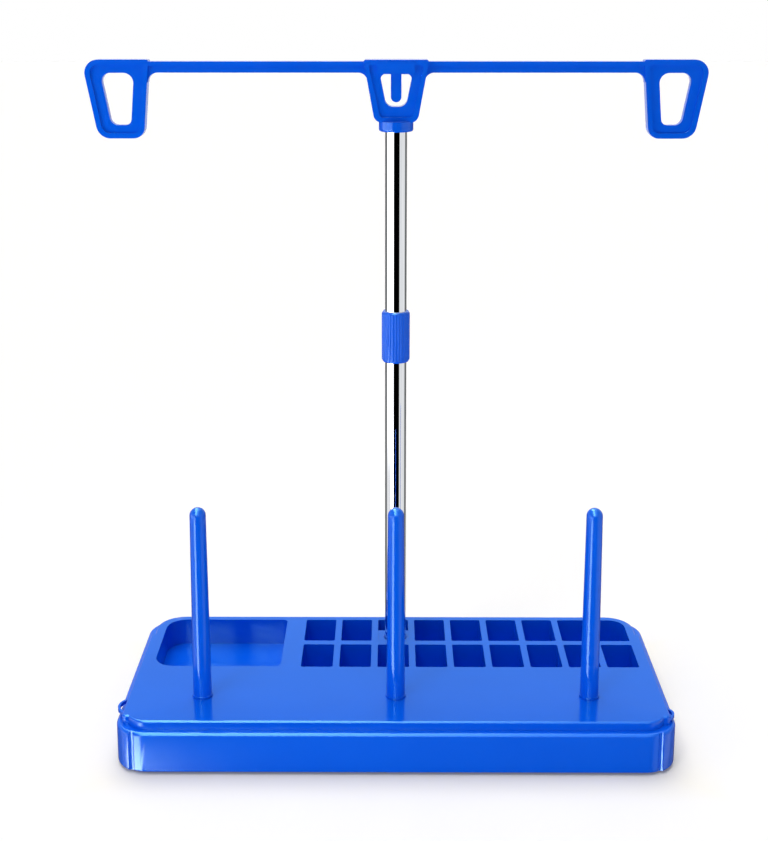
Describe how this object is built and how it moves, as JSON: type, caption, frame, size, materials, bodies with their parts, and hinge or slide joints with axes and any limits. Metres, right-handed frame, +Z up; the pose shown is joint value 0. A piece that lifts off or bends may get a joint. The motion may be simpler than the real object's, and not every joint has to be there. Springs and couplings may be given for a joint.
{
  "type": "thread rack",
  "caption": "Sewing thread stand: shallow base with a tray and bobbin slots, upright spool pins, and a sleeve-joined tubular pole carrying a looped thread guide.",
  "frame": {"origin": "on the table under the middle of the base", "axes": "+Z up, front of the stand towards -Y, tray on the -X side"},
  "size_m": [0.3038, 0.1202, 0.3272],
  "materials": {
    "base_plastic": "glossy moulded",
    "pin_plastic": "glossy moulded",
    "sleeve_plastic": "glossy moulded",
    "guide_plastic": "glossy moulded",
    "chrome_tube": "polished plate",
    "foot_rubber": "matte",
    "screw_steel": "zinc plated"
  },
  "bodies": {
    "base": {"deck": "base_plastic", "tub": "base_plastic", "bottom_plate": "base_plastic", "front_left_foot": "foot_rubber", "front_right_foot": "foot_rubber", "rear_left_foot": "foot_rubber", "rear_right_foot": "foot_rubber", "base_screws": "screw_steel"},
    "left_pin": {"left_spool_pin": "pin_plastic"},
    "centre_pin": {"centre_spool_pin": "pin_plastic"},
    "right_pin": {"right_spool_pin": "pin_plastic"},
    "lower_pole": {"lower_tube": "chrome_tube", "pole_sleeve": "sleeve_plastic"},
    "upper_pole": {"upper_tube": "chrome_tube"},
    "guide": {"thread_guide": "guide_plastic"}
  },
  "joints": [
    {"name": "left_pin_pull", "type": "slide", "parent": "base", "child": "left_pin", "axis": [0, 0, 1], "range_m": [0, 0.016]},
    {"name": "centre_pin_pull", "type": "slide", "parent": "base", "child": "centre_pin", "axis": [0, 0, 1], "range_m": [0, 0.016]},
    {"name": "right_pin_pull", "type": "slide", "parent": "base", "child": "right_pin", "axis": [0, 0, 1], "range_m": [0, 0.016]},
    {"name": "lower_pole_pull", "type": "slide", "parent": "base", "child": "lower_pole", "axis": [0, 0, 1], "range_m": [0, 0.02]},
    {"name": "upper_pole_pull", "type": "slide", "parent": "lower_pole", "child": "upper_pole", "axis": [0, 0, 1], "range_m": [0, 0.015]},
    {"name": "guide_swivel", "type": "hinge", "parent": "upper_pole", "child": "guide", "pos_m": [0, 0.0342, 0.2921], "axis": [0, 0, 1], "continuous": true}
  ]
}
